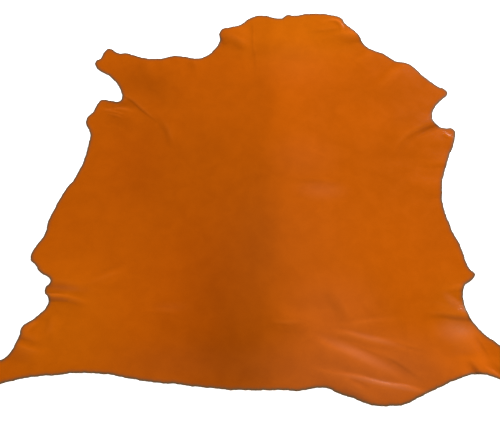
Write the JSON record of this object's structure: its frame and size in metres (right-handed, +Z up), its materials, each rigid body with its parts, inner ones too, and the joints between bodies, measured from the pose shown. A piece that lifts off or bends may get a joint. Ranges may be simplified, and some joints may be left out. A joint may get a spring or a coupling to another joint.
{
  "type": "leather hide",
  "caption": "Flat tanned leather hide with a natural outline: neck at the top, foreleg and hind leg stubs, and low storage folds.",
  "frame": {"origin": "middle of the hide's footprint, on the surface it lies on", "axes": "+X across the hide towards the right flank as seen from above with the neck away, +Y from the rump to the neck, +Z up out of the grain side"},
  "size_m": [0.97, 0.8762, 0.0086],
  "materials": {
    "tan_leather": "smooth orange-tan grain side with a low sheen; raw grey-brown cut edge and a paler, fibrous flesh side"
  },
  "bodies": {
    "root": {"hide": "tan_leather"}
  },
  "joints": []
}
